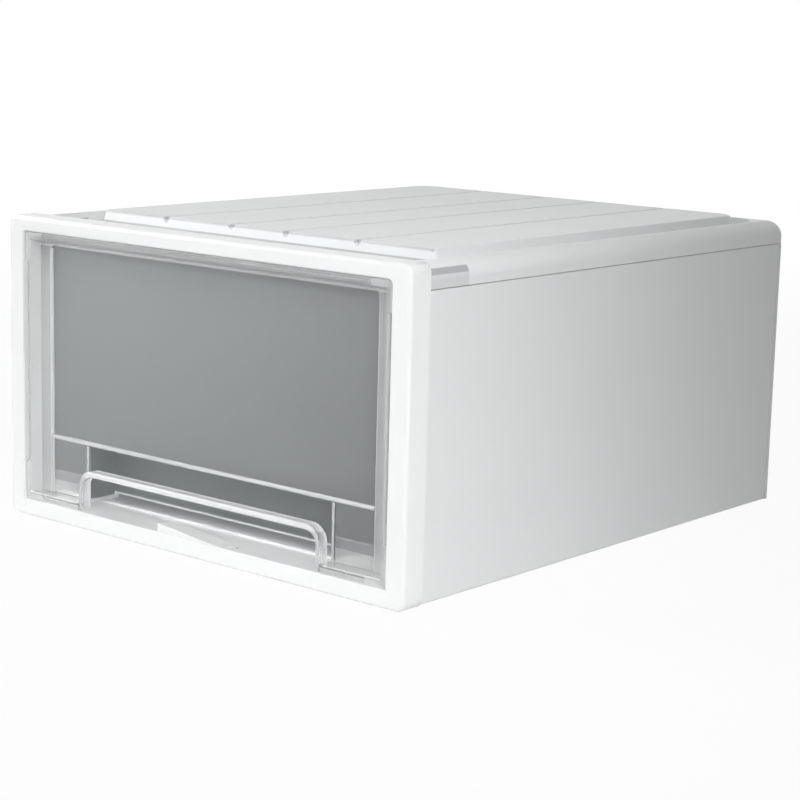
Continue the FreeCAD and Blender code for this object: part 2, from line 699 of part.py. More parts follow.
pocket = block(face, "pocket", ("-pocket_half", "pocket_half"), ("window_face - overrun", "pocket_back"),
               ("0", "pocket_top"), cut=True)
doc.recompute()
pocket_box = limits(pocket)
soften(face, "pocket_round", "pocket_round", lambda edge: at(edge, y=pocket_box.YMax, z=pocket_box.ZMax))
block(face, "handle_gate", ("-handle_half", "handle_half"), ("front", "window_face"),
      ("0", "ridge_height - ridge_tall / 2"), cut=True)
block(face, "pocket_hem", ("-pocket_half", "pocket_half"), ("pocket_back - overrun", "front_back + overrun"),
      ("0", "tub_lift"), cut=True)


# Handle: an arch that bridges the finger pocket and stands against the inner ends of the feet
handle = start("handle_bar")
arch = block(handle, "arch", ("-handle_half", "handle_half"), ("front_face", "ledge_face"),
             ("flange_bottom", "handle_top"))
span = block(handle, "span", ("-handle_half + leg_wall", "handle_half - leg_wall"),
             ("front_face - overrun", "ledge_face + overrun"), ("0", "handle_top - bar_tall"), cut=True)
doc.recompute()
arch_box = limits(arch)
span_box = limits(span)
soften(handle, "inner_shoulders", "handle_corner - leg_wall", lambda edge: (
    at(edge, x=span_box.XMin, z=span_box.ZMax) or at(edge, x=span_box.XMax, z=span_box.ZMax)))
soften(handle, "shoulders", "handle_corner", lambda edge: (
    at(edge, x=arch_box.XMin, z=arch_box.ZMax) or at(edge, x=arch_box.XMax, z=arch_box.ZMax)))
soften(handle, "soft_edges", "handle_soft_edge", lambda edge: at(edge, y=arch_box.YMin))


# Rivets that hold the back and the base to the side panels
def grouped(name, members):
    """Join equal fasteners, which stay separate solids, under one name."""
    item = doc.addObject("Part::MultiFuse", name)
    item.Label = name
    item.Shapes = members
    pieces.append(item)


def cylinder(name, axis, radius, length, x, y, z):
    """Make a plain round bar that starts at a place and runs along an axis."""
    item = doc.addObject("Part::Cylinder", name)
    item.Placement = FreeCAD.Placement(FreeCAD.Vector(), axis)
    bind(item, {
        "Radius": radius, "Height": length,
        "Placement.Base.x": x, "Placement.Base.y": y, "Placement.Base.z": z,
    })
    return item


back_rivets = []
for side, name in zip(sides, ("left", "right")):
    for level in ("low", "high"):
        stem = cylinder(
            "back_stem_" + name + "_" + level, along_y, "rivet_radius", "back_boss_length + back_wall",
            mirrored(side, "back_rivet_x"), "back_outer - back_boss_length - back_wall + fit_gap",
            level + "_rivet_height")
        head = cylinder(
            "back_head_" + name + "_" + level, along_y, "rivet_head_radius", "rivet_head",
            mirrored(side, "back_rivet_x"), "back_outer", level + "_rivet_height")
        rivet = doc.addObject("Part::Fuse", "back_rivet_" + name + "_" + level)
        rivet.Base = stem
        rivet.Tool = head
        back_rivets.append(rivet)
grouped("back_rivets", back_rivets)

base_rivets = []
for side, name in zip(sides, ("left", "right")):
    for end in ("front", "rear"):
        stem = cylinder(
            "base_stem_" + name + "_" + end, along_z, "rivet_radius", "ledge_wall + base_wall",
            mirrored(side, "base_rivet_x"), "base_rivet_" + end, "base_lift - ledge_wall")
        head = cylinder(
            "base_head_" + name + "_" + end, along_z, "rivet_radius + rivet_gap + rivet_head", "rivet_head",
            mirrored(side, "base_rivet_x"), "base_rivet_" + end, "base_lift - ledge_wall - rivet_head")
        rivet = doc.addObject("Part::Fuse", "base_rivet_" + name + "_" + end)
        rivet.Base = stem
        rivet.Tool = head
        base_rivets.append(rivet)
grouped("base_rivets", base_rivets)


doc.recompute()
for item in doc.Objects:
    if "Invalid" in item.State or "Error" in item.State:
        raise RuntimeError(item.Name + " failed")
for item in pieces:
    if item.Shape.isNull() or not item.Shape.isValid():
        raise RuntimeError(item.Label + " has no valid shape")

os.makedirs("parts", exist_ok=True)
for item in pieces:
    item.Shape.exportStep(os.path.join("parts", item.Label + ".step"))
    print(item.Label, "solids", len(item.Shape.Solids), "volume", round(item.Shape.Volume))
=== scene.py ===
# %% [markdown]
# Stackable drawer box, dressed around its packed construction model.
# The white housing is injection-moulded plastic, glossy on the front frame and satin elsewhere.
# The drawer has a really clear moulded front with a clear handle, and a smoky translucent tub behind it.
# The construction model gives every rigid piece its true place and size. This script gives the pieces
# their finish, rounds their edges as a mould does, and remodels the pieces whose shape carries the look.

import math

import bmesh
import bpy
import numpy as np
from mathutils import Matrix, Vector


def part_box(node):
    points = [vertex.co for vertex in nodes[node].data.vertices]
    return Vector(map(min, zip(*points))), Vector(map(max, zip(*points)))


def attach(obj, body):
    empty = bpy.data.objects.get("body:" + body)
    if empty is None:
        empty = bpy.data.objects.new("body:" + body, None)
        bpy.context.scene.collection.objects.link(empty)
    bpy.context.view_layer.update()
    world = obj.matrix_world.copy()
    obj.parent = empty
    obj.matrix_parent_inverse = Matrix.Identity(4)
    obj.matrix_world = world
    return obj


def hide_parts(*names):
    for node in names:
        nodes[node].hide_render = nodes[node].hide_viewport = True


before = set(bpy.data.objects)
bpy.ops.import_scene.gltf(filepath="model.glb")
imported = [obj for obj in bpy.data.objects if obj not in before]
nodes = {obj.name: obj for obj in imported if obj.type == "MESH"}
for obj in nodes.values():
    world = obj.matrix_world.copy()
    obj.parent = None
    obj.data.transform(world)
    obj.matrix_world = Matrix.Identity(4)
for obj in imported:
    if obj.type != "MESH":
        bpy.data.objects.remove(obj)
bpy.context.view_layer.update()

# %% [markdown]
# The camera stands in front of the box's right corner and a little above it, as the photographer did.
# Its place and turn were worked out from the straight edges of the box, so no lens shift is needed.

# %% Camera
LENS = 94.5197
CAMERA_PLACE = Vector((0.89893, -1.07434, 0.33595))
CAMERA_HEADING = math.radians(40.1153)
CAMERA_PITCH = math.radians(-10.6352)
CAMERA_ROLL = math.radians(1.4260)


def aim_camera():
    """Turns the camera up from its resting look down -Z, then by its roll, pitch and heading."""
    data = bpy.data.cameras.new("camera")
    data.lens = LENS
    data.clip_start = 0.01
    camera = bpy.data.objects.new("camera", data)
    bpy.context.scene.collection.objects.link(camera)
    turn = Matrix.Rotation(CAMERA_HEADING, 4, "Z")
    turn = turn @ Matrix.Rotation(math.pi / 2 + CAMERA_PITCH, 4, "X")
    turn = turn @ Matrix.Rotation(CAMERA_ROLL, 4, "Z")
    camera.matrix_world = Matrix.Translation(CAMERA_PLACE) @ turn
    bpy.context.scene.camera = camera
    return camera


camera = aim_camera()
print("camera stands", round(CAMERA_PLACE.length, 3), "m from the box's middle")

# %% [markdown]
# Shader maths reads better as sums than as a web of nodes. A Wire is one output socket. A sum on wires
# adds the Math nodes behind it, and every other node comes from the method node.


# %% Shader sums
class Wire:
    """An output socket in a node tree, with the sums that the finishes need."""

    def __init__(self, tree, socket=None):
        self.tree = tree
        self.socket = socket

    def node(self, kind, settings=None, inputs=None, output=0):
        """A new node: its settings first, then its sockets' values or links. Returns one output."""
        made = self.tree.nodes.new(kind)
        for name, value in (settings or {}).items():
            setattr(made, name, value)
        for name, value in (inputs or {}).items():
            if isinstance(value, Wire):
                self.tree.links.new(value.socket, made.inputs[name])
            else:
                made.inputs[name].default_value = value
        return Wire(self.tree, made.outputs[output] if made.outputs else None)

    def also(self, output):
        """Another output of the node that this wire comes from."""
        return Wire(self.tree, self.socket.node.outputs[output])

    def sum(self, operation, first, second=0.0):
        return self.node("ShaderNodeMath", {"operation": operation}, {0: first, 1: second})

    def __add__(self, other):
        return self.sum("ADD", self, other)

    def __sub__(self, other):
        return self.sum("SUBTRACT", self, other)

    def __mul__(self, other):
        return self.sum("MULTIPLY", self, other)

    def __rsub__(self, other):
        return self.sum("SUBTRACT", other, self)

    __radd__ = __add__
    __rmul__ = __mul__

    def size(self):
        """The number without its sign."""
        return self.sum("ABSOLUTE", self)

    def between(self, low, high):
        """This value, read as a share from 0 to 1, laid between two numbers."""
        return self * (high - low) + low

    def step(self, start, end):
        """Rises smoothly from 0 at start to 1 at end."""
        settings = {"interpolation_type": "SMOOTHSTEP"}
        inputs = {"Value": self, "From Min": start, "From Max": end, "To Min": 0.0, "To Max": 1.0}
        return self.node("ShaderNodeMapRange", settings, inputs)


def new_finish(name):
    """An empty material, a wire to build on, and the piece's own coordinates in metres."""
    material = bpy.data.materials.new(name)
    material.use_nodes = True
    material.node_tree.nodes.clear()
    start = Wire(material.node_tree)
    place = start.node("ShaderNodeTexCoord", output="Object")
    return material, start, place


def cloudy(start, place, per_metre, detail=2.0, stretch=(1, 1, 1)):
    """Soft noise from 0 to 1 with that many blotches to the metre, drawn out along an axis by stretch."""
    laid = start.node("ShaderNodeMapping", inputs={"Vector": place, "Scale": stretch})
    inputs = {"Vector": laid, "Scale": per_metre, "Detail": detail, "Roughness": 0.55}
    return start.node("ShaderNodeTexNoise", inputs=inputs)


def tinted(start, share, dark, light):
    """A colour that runs from dark to light with a share from 0 to 1. Either may be a wire."""
    dark, light = [tone if isinstance(tone, Wire) else (*tone, 1) for tone in (dark, light)]
    return start.node("ShaderNodeMix", {"data_type": "RGBA"}, {0: share, 6: dark, 7: light}, output=2)


def bumped(start, height, reach, strength=1.0, under=None):
    """A surface normal from a height, where a height of 1 stands reach metres proud."""
    inputs = {"Height": height, "Distance": reach, "Strength": strength}
    if under is not None:
        inputs["Normal"] = under
    return start.node("ShaderNodeBump", inputs=inputs)


def skin_of(start, **sockets):
    """A principled surface with those sockets set or linked."""
    inputs = {name.replace("_", " "): value for name, value in sockets.items()}
    return start.node("ShaderNodeBsdfPrincipled", inputs=inputs)


def close(start, **sockets):
    """The principled surface that ends a finish."""
    start.node("ShaderNodeOutputMaterial", inputs={"Surface": skin_of(start, **sockets)})


print("finishes are built from wires")

# %% [markdown]
# The housing is white polystyrene. The front frame came out of a polished mould, so it is glossy. The
# walls and the cover have a fine satin grain. Both vary a little: flow in the mould leaves faint clouds
# of tone, the gloss changes slowly across a panel, and wide flat walls ripple by a few hundredths of a
# millimetre, which shows only where light grazes them.


# %% White finishes
# Colour of the painted shade in hollows.
HOLLOW_SHADE = (0.42, 0.43, 0.435)
# Strength of the painted light on the base's inner face.
INNER_LIGHT = 0.17
SPECK_SHARE = 0.2


def no_hollow(place):
    """A plain wall has no hollow to shade."""
    return 0.0 * place.node("ShaderNodeSeparateXYZ", inputs={0: place}, output="X")


def white_plastic(name, tones, gloss_range, grain, hollow=no_hollow, shade=HOLLOW_SHADE, inner=None):
    """Moulded white plastic: cloudy tone, uneven gloss, slow ripple and fine grain. Its hollows take a
    painted shade, and painted light makes it glow faintly where the inner mask is 1."""
    material, start, place = new_finish(name)
    clouds = cloudy(start, place, per_metre=7.0, detail=3.0)
    speck = cloudy(start, place, per_metre=900.0)
    tone = clouds * (1 - SPECK_SHARE) + speck * SPECK_SHARE
    gloss = cloudy(start, place, per_metre=22.0, detail=4.0, stretch=(1, 1, 0.5))
    waves = cloudy(start, place, per_metre=9.0, detail=1.0)
    grains = cloudy(start, place, per_metre=1600.0, detail=1.0)
    ripple = bumped(start, waves, reach=0.0004, strength=0.35)
    skin = bumped(start, grains, reach=grain, strength=0.5, under=ripple)
    # Painted shade: hollows take the shade colour where their mask is 1.
    colour = tinted(start, hollow(place), tinted(start, tone, *tones), shade)
    surface = {"Base_Color": colour, "Roughness": gloss.between(*gloss_range), "Normal": skin}
    # Painted light: the surface glows faintly where the inner mask is 1.
    if inner is not None:
        surface["Emission_Color"] = tinted(start, inner(place), (0, 0, 0), tones[1])
        surface["Emission_Strength"] = INNER_LIGHT
    close(start, IOR=1.5, **surface)
    return material


print("white plastic keeps", round(1 - SPECK_SHARE, 2), "of its tone in clouds and the rest in specks")

# %% [markdown]
# Three kinds of hollow hold shade on the real box: the four grooves in the plateau with the notches at
# their ends, the narrow valley before the plateau, and the small deep hole beside the tongue. All are cut
# in the construction model, but the studio's soft lamps light their floors too well. Harder lamps would
# shade them and spoil the calm panels, so masks of their places darken them with painted shade instead,
# and the hole is painted near black. The base does the opposite: its inner face gets painted light, a
# faint glow that stands in for light soaking through the white walls.

# %% Painted shade in the hollows, painted light on the base
cover_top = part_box("top_cover")[1].z
SOFT_EDGE = 0.0004
PLATEAU_HALF = 0.1400
PLATEAU_FRONT = -0.1470
PLATEAU_REAR = 0.1825
PLATEAU_FADE = 0.001
GROOVE_FLOOR = cover_top - 0.0020
NOTCH_BACK = -0.1436
NOTCH_SHARE = 0.7
VALLEY_TOP = 0.1934
VALLEY_LOW = 0.1925
VALLEY_FLOOR = 0.1892
VALLEY_FOOT = 0.1895
FLOOR_SHARE = 0.35


def groove_shade_mask(place):
    """Where painted shade falls on the cover: 1 below the plateau's face but inside its outline, where only
    the grooves reach, and along the foot of its front face; a share in the notches and on the floor of the
    front valley."""
    x = place.node("ShaderNodeSeparateXYZ", inputs={0: place}, output="X")
    along, height = x.also("Y"), x.also("Z")
    inside = x.size().step(PLATEAU_HALF, PLATEAU_HALF - PLATEAU_FADE)
    inside = inside * along.step(PLATEAU_FRONT, PLATEAU_FRONT + SOFT_EDGE)
    inside = inside * along.step(PLATEAU_REAR, PLATEAU_REAR - PLATEAU_FADE)
    low = height.step(cover_top - SOFT_EDGE / 4, cover_top - SOFT_EDGE)
    groove = inside * low * height.step(GROOVE_FLOOR - SOFT_EDGE / 4, GROOVE_FLOOR + SOFT_EDGE / 4)
    groove = groove * along.step(NOTCH_BACK, NOTCH_BACK + SOFT_EDGE).between(NOTCH_SHARE, 1.0)
    foot = height.step(VALLEY_FLOOR, VALLEY_FOOT).between(FLOOR_SHARE, 1.0)
    valley = height.step(VALLEY_TOP, VALLEY_LOW) * along.step(PLATEAU_FRONT, PLATEAU_FRONT - SOFT_EDGE)
    return groove.sum("MAXIMUM", groove, valley * foot)


# Painted shade: the deep hole beside the tongue is painted near black.
HOLE_PLACE = (0.0322, -0.1948)
HOLE_RADIUS = 0.0011
RAIL_TOP = 0.0113
HOLE_SHADE = (0.02, 0.02, 0.02)


def hole_mask(place):
    """Where painted shade blackens the hole: 1 below the sill's face within the hole's radius, the square
    root of dx² + dy².
    """
    x = place.node("ShaderNodeSeparateXYZ", inputs={0: place}, output="X")
    dx, dy = x - HOLE_PLACE[0], x.also("Y") - HOLE_PLACE[1]
    away = x.sum("SQRT", dx * dx + dy * dy)
    deep = x.also("Z").step(RAIL_TOP, RAIL_TOP - SOFT_EDGE / 2)
    return away.step(HOLE_RADIUS + SOFT_EDGE / 4, HOLE_RADIUS) * deep


# Painted light: a faint glow on the base's inner face stands in for light soaking through the white walls.
BASE_FACE_LOW = 0.0069
BASE_FACE_HIGH = 0.0073
BASE_HALF = 0.155
BASE_FADE = 0.005


def base_glow_mask(place):
    """1 on the base's inner face, under the drawer, where painted light makes it glow."""
    x = place.node("ShaderNodeSeparateXYZ", inputs={0: place}, output="X")
    face = x.also("Z").step(BASE_FACE_LOW, BASE_FACE_HIGH)
    return face * x.size().step(BASE_HALF, BASE_HALF - BASE_FADE)


print("grooves reach from", round(GROOVE_FLOOR, 4), "to", round(cover_top, 4), "m up")

# %% [markdown]
# One function now makes every white. Each piece could have a colour of its own, but real mouldings come
# from one bag of granules, so the satin pieces share their two tones and differ only in gloss and masks.

# %% White materials
GLOSS_TONES = (0.86, 0.865, 0.87), (0.90, 0.905, 0.905)
SATIN_TONES = (0.76, 0.77, 0.775), (0.81, 0.815, 0.82)
RIVET_TONES = (0.80, 0.80, 0.79), (0.85, 0.85, 0.84)
SATIN_GLOSS = (0.34, 0.46)
POLISHED_GRAIN = 0.00001
SATIN_GRAIN = 0.00003
gloss_white = white_plastic(
    "gloss_white", GLOSS_TONES, (0.16, 0.26), POLISHED_GRAIN, hole_mask, HOLE_SHADE
)
satin_white = white_plastic("satin_white", SATIN_TONES, SATIN_GLOSS, SATIN_GRAIN)
cover_white = white_plastic("cover_white", SATIN_TONES, (0.32, 0.44), SATIN_GRAIN, groove_shade_mask)
base_white = white_plastic("base_white", SATIN_TONES, SATIN_GLOSS, SATIN_GRAIN, inner=base_glow_mask)
rivet_white = white_plastic("rivet_white", RIVET_TONES, (0.22, 0.34), POLISHED_GRAIN)
whites = (gloss_white, satin_white, cover_white, base_white, rivet_white)
print("white finishes:", [white.name for white in whites])

# %% [markdown]
# The tub is polypropylene with a little smoke in it, and the drawer's front has a smoky sheet behind its
# window and its finger pocket. Both hide what lies behind them in one calm grey field, so they share
# their colour. Painted shade darkens that grey slowly to the right and downwards.

# %% Smoky finish
# Painted shade: how fast the smoky grey darkens to the right and downwards.
SHADE_DRIFT_ACROSS = 2.1
SHADE_DRIFT_UP = 2.5
SMOKE_CLOUDS = 0.25
SMOKE_START = 0.05


def smoke_and_shade_colour(start, place, dark, light):
    """Smoky grey with soft clouds, and painted shade that darkens it slowly to the right and downwards."""
    clouds = cloudy(start, place, per_metre=6.0)
    x = start.node("ShaderNodeSeparateXYZ", inputs={0: place}, output="X")
    shade_drift = x.also("Z") * SHADE_DRIFT_UP - x * SHADE_DRIFT_ACROSS
    return tinted(start, clouds * SMOKE_CLOUDS + shade_drift + SMOKE_START, dark, light)


def smoky_plastic(name, dark, light):
    """Translucent grey plastic with a fine satin skin."""
    material, start, place = new_finish(name)
    gloss = cloudy(start, place, per_metre=30.0, detail=3.0)
    waves = cloudy(start, place, per_metre=8.0, detail=1.0)
    grains = cloudy(start, place, per_metre=1400.0, detail=1.0)
    ripple = bumped(start, waves, reach=0.0003, strength=0.2)
    skin = bumped(start, grains, reach=0.000004, strength=0.4, under=ripple)
    colour = smoke_and_shade_colour(start, place, dark, light)
    close(start, Base_Color=colour, Roughness=gloss.between(0.3, 0.42), Normal=skin, IOR=1.49)
    return material


smoky_tub = smoky_plastic("smoky_tub", (0.25, 0.262, 0.265), (0.44, 0.461, 0.462))
print("smoky finish:", smoky_tub.name)

# %% [markdown]
# The drawer's front is one clear moulding. Its border and the floors of its feet carry a milky haze, the
# field behind its window and pocket is smoky, and its thin edges carry painted highlights: bands of
# milky haze that stand in for the light their rounded edges catch.
# Separate parts or painted textures could show these. Masks worked out from the place of each point are
# simpler and follow the moulding exactly. Each mask is a share from 0 to 1: 1 inside its band of
# places, 0 outside, and a soft edge less than half a millimetre wide between them.

# %% Places on the clear front
front_low, front_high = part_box("drawer_front")
WINDOW_INSET = 0.0160
WINDOW_TOP_INSET = 0.0079
PANE_MIDDLE = 0.0110
FOOT_RISE = 0.0049
window_half = front_high.x - WINDOW_INSET
window_top = front_high.z - WINDOW_TOP_INSET
foot_floor = front_low.z + FOOT_RISE
print("window reaches", round(window_half, 4), "m each way and", round(window_top, 4), "m up")

BORDER_HAZE = 0.34
HEAD_SHARE = 0.20
PLAIN_HAZE = 0.04
SMOKE_SHARE = 0.80
FLOOR_HAZE = 0.42
FOOT_START = 0.1077
FOOT_PALE = 0.0315
FOOT_CLEAR = 0.0245
PALE_SHARE = 0.3

# Each painted highlight along an edge: distance from the middle plane, depth and height, each (middle,
# reach), and its haze.
EDGE_HIGHLIGHTS = {
    "ridge": ((0.0, window_half - SOFT_EDGE), (0.0085, 0.0014), (0.0540, 0.0014), 0.72),
    "pocket_sides": ((0.1066, 0.0010), (0.0105, 0.0012), (0.0300, 0.0220), 0.55),
    "pocket_hem": (None, (0.0341, 0.0024), (0.0178, 0.0012), 0.80),
    "foot_line": ((0.1220, 0.0145), (0.0120, 0.0008), (FOOT_PALE, 0.0005), 0.35),
    "foot_back": ((0.1220, 0.0145), (0.0120, 0.0008), (FOOT_CLEAR, 0.0006), 0.45),
    "rim_top": ((0.1300, 0.0220), (0.0, 0.0014), (0.0164, 0.0006), 0.70),
    "rim_foot": ((0.1300, 0.0240), (0.0, 0.0014), (0.0119, 0.0007), 0.50),
    "window_sides": ((window_half, 0.0007), (0.0090, 0.0020), None, 0.50),
    "window_head": (None, (0.0090, 0.0020), (window_top, 0.0008), 0.60),
}


def near(wire, middle, reach):
    """1 within reach of a value and 0 beyond it, with a narrow soft edge."""
    return 1.0 - (wire - middle).size().step(reach - SOFT_EDGE / 2, reach + SOFT_EDGE / 2)


def front_masks(place):
    """Three shares: the haze of border and foot floors, the smoke behind the window, and the painted
    highlights along the edges."""
    x = place.node("ShaderNodeSeparateXYZ", inputs={0: place}, output="X")
    across, depth, height = x.size(), x.also("Y") - front_low.y, x.also("Z")
    beside = across.step(window_half, window_half + SOFT_EDGE)
    above = height.step(window_top, window_top + SOFT_EDGE)
    outside = beside.sum("MAXIMUM", beside, above)
    behind = depth.step(PANE_MIDDLE, PANE_MIDDLE + SOFT_EDGE)
    foot = across.step(FOOT_START, FOOT_START + SOFT_EDGE) * behind
    clear = foot * height.step(FOOT_CLEAR + SOFT_EDGE, FOOT_CLEAR)
    pale = foot * height.step(FOOT_PALE + SOFT_EDGE, FOOT_PALE)
    floors = height.step(foot_floor + SOFT_EDGE, foot_floor) * behind
    floors = floors.sum("MAXIMUM", floors, clear) * (FLOOR_HAZE / BORDER_HAZE)
    rim = beside.sum("MAXIMUM", beside, above * HEAD_SHARE)
    border = floors.sum("MAXIMUM", floors, rim * (1.0 - behind))
    smoke = (1.0 - outside) * behind * height.step(foot_floor, foot_floor + SOFT_EDGE)
    smoke = smoke * (1.0 - clear) * (1.0 - pale * PALE_SHARE)
    # Painted highlights along the thin edges of the front.
    glow = 0.0 * x
    for *bands, share in EDGE_HIGHLIGHTS.values():
        line = share
        for wire, band in zip((across, depth, height), bands):
            line = line if band is None else near(wire, *band) * line
        glow = glow.sum("MAXIMUM", glow, line)
    return border, smoke, glow


print("lit edges on the clear front:", list(EDGE_HIGHLIGHTS))

# %% [markdown]
# The front and its handle are water-clear polystyrene, so their surface is real glass-like refraction,
# which bends what stands behind their rounded edges. A second, hazy surface is mixed in where the masks
# say so. Rays from the lamps and from pale surfaces pass straight through. Without that, each clear wall
# would throw a black shadow, because bent light rarely finds a lamp again.

# %% Clear finishes
LAMP_SHARE = 0.92
MILK_DARK = (0.80, 0.81, 0.815)
MILK_LIGHT = (0.86, 0.87, 0.875)


def clear_plastic(dark, light, haze, veil, start, place, material, blur=0.0):
    """Clear moulded plastic: a trace of smoke in the colour, smears in the gloss, a slow ripple, and a
    veil of another colour mixed in by the haze. Lamp rays and diffuse rays go straight through."""
    clouds = cloudy(start, place, per_metre=12.0)
    smear = cloudy(start, place, per_metre=60.0, detail=4.0, stretch=(1, 1, 3))
    waves = cloudy(start, place, per_metre=14.0, detail=1.0)
    ripple = bumped(start, waves, reach=0.0001, strength=0.2)
    tint = tinted(start, clouds, dark, light)
    gloss = smear.between(0.0, 0.04) + blur
    glass = skin_of(start, Base_Color=tint, Roughness=gloss, Normal=ripple, Transmission_Weight=1.0, IOR=1.5)
    skin = skin_of(start, Base_Color=veil, Roughness=smear.between(0.25, 0.4), Normal=ripple)
    body = start.node("ShaderNodeMixShader", inputs={0: haze, 1: glass, 2: skin})
    open_way = start.node("ShaderNodeBsdfTransparent", inputs={"Color": (LAMP_SHARE,) * 3 + (1,)})
    for ray in ("Is Diffuse Ray", "Is Shadow Ray"):
        lamp = start.node("ShaderNodeLightPath", output=ray)
        body = start.node("ShaderNodeMixShader", inputs={0: lamp, 1: body, 2: open_way})
    start.node("ShaderNodeOutputMaterial", inputs={"Surface": body})
    return material


FRONT_TINTS = (0.975, 0.985, 0.98), (0.985, 0.99, 0.99)
WINDOW_GREYS = (0.12, 0.127, 0.129), (0.295, 0.311, 0.312)
WINDOW_BLUR = 0.3


def front_finish():
    """The clear front: milky border, painted highlights along its edges, smoke behind the window."""
    material, start, place = new_finish("clear_front")
    border, smoke, glow = front_masks(place)
    milk = tinted(start, cloudy(start, place, per_metre=12.0), MILK_DARK, MILK_LIGHT)
    grey = smoke_and_shade_colour(start, place, *WINDOW_GREYS)
    # Painted highlights take the milky veil instead of the smoke.
    veil = tinted(start, smoke * (1.0 - glow), milk, grey)
    base = border.between(PLAIN_HAZE, BORDER_HAZE) + smoke * (SMOKE_SHARE - PLAIN_HAZE)
    haze = base.sum("MAXIMUM", base, glow)
    return clear_plastic(*FRONT_TINTS, haze, veil, start, place, material, smoke * WINDOW_BLUR)


clear_front_finish = front_finish()
print("clear front:", clear_front_finish.name)

# %% [markdown]
# The handle is clearer than the front in its legs. Its bar shows three pale stripes from end to end,
# painted highlights where the light runs along its edges and its channel. They are bands of depth, like
# the painted highlights along the front's edges above.

# %% Handle finish
handle_low, handle_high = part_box("handle_bar")
HANDLE_TINTS = (0.98, 0.985, 0.985), (0.99, 0.995, 0.995)
HANDLE_MILK = (0.93, 0.94, 0.945)
BAR_START = handle_high.z - 0.0050
BAR_FULL = handle_high.z - 0.0030
LEG_HAZE = 0.12
BAR_HAZE = 0.36
LEG_HIGHLIGHT = 0.30
# Each painted highlight stripe along the bar: the middle of its depth, its reach, and its haze.
HIGHLIGHT_STRIPES = [(0.0002, 0.0006, 0.55), (0.0036, 0.0006, 0.52), (0.0066, 0.0018, 0.90)]


def handle_finish():
    """The clear handle: see-through legs, a hazier bar, and painted highlight stripes along its edges and
    middle.
    """
    material, start, place = new_finish("clear_handle")
    milk = tinted(start, cloudy(start, place, per_metre=40.0), MILK_DARK, HANDLE_MILK)
    x = place.node("ShaderNodeSeparateXYZ", inputs={0: place}, output="X")
    depth, height = x.also("Y") - handle_low.y, x.also("Z")
    bar = height.step(BAR_START, BAR_FULL)
    haze = bar.between(LEG_HAZE, BAR_HAZE)
    # Painted highlight stripes along the bar, weaker on the legs.
    for middle, reach, share in HIGHLIGHT_STRIPES:
        haze = haze.sum("MAXIMUM", haze, near(depth, middle, reach) * bar.between(LEG_HIGHLIGHT, share))
    return clear_plastic(*HANDLE_TINTS, haze, milk, start, place, material)


clear_handle_finish = handle_finish()
print("clear handle:", clear_handle_finish.name, "with", len(HIGHLIGHT_STRIPES), "stripes")

# %% [markdown]
# The tongue's hinge pin and its return spring are plain steel: a drawn wire and a thin strip. Drawing
# and rolling leave fine lines along the metal, which spread its highlights sideways.


# %% Steel finish
def drawn_steel(name, along):
    """Steel with fine lines along one axis: noise that is drawn out a hundredfold along them."""
    material, start, place = new_finish(name)
    stretch = tuple(0.01 if axis == along else 1.0 for axis in range(3))
    lines = cloudy(start, place, per_metre=9000.0, stretch=stretch)
    clouds = cloudy(start, place, per_metre=120.0, detail=3.0)
    close(
        start,
        Base_Color=tinted(start, clouds, (0.50, 0.50, 0.51), (0.62, 0.62, 0.62)),
        Roughness=(lines * 0.6 + clouds * 0.4).between(0.22, 0.42),
        Metallic=1.0,
        Normal=bumped(start, lines, reach=0.00001, strength=0.6),
    )
    return material


steel_wire = drawn_steel("steel_wire", 1)
steel_strip = drawn_steel("steel_strip", 0)
print("steel finishes:", steel_wire.name, steel_strip.name)

# %% [markdown]
# A moulded edge is never sharp: the cutter that made the mould leaves a radius of a few tenths of a
# millimetre, and that radius catches the light as a thin line. The construction model has the large
# radii already. Modifiers add the small ones: its loose triangles are welded, flat faces are joined, and
# a narrow bevel rounds what is left, which keeps the model itself as it is.

# %% Finishes and small edge radii on the construction pieces
EDGE_ANGLE = math.radians(32)
FLAT_ANGLE = math.radians(0.4)
WELD_REACH = 0.000002
FINISH_OF = {
    "front_frame": (gloss_white, 0.0005),
    "stop_tongue": (gloss_white, 0.0003),
    "top_cover": (cover_white, 0.0004),
    "side_panel_left": (satin_white, 0.0003),
    "side_panel_right": (satin_white, 0.0003),
    "back_panel": (satin_white, 0.0003),
    "base_panel": (base_white, 0.0003),
    "runner_left": (satin_white, 0.0003),
    "runner_right": (satin_white, 0.0003),
    "tongue_pin": (steel_wire, 0.0001),
    "tongue_spring": (steel_strip, 0.0),
    "drawer_tub": (smoky_tub, 0.0004),
    "drawer_front": (clear_front_finish, 0.0004),
}


def dress(node, finish, radius):
    """Gives a construction piece its finish and rounds its sharp edges by that radius."""
    for slot in node.material_slots:
        slot.material = finish
    if radius == 0:
        return
    weld = node.modifiers.new("weld", "WELD")
    weld.merge_threshold = WELD_REACH
    flat = node.modifiers.new("flat", "DECIMATE")
    flat.decimate_type = "DISSOLVE"
    flat.angle_limit = FLAT_ANGLE
    bevel = node.modifiers.new("bevel", "BEVEL")
    bevel.width = radius
    bevel.segments = 2
    bevel.limit_method = "ANGLE"
    bevel.angle_limit = EDGE_ANGLE
    bevel.use_clamp_overlap = True
    bevel.harden_normals = True


for name, (finish, radius) in FINISH_OF.items():
    dress(nodes[name], finish, radius)
print("pieces with a finish:", len(FINISH_OF), "of", len(nodes))

# %% [markdown]
# New pieces are made as grids of points: one direction of the grid follows a path or a profile, and the
# other goes round it. The grid becomes faces by counting, and a check of the enclosed volume turns the
# faces outwards if they came out the wrong way round.


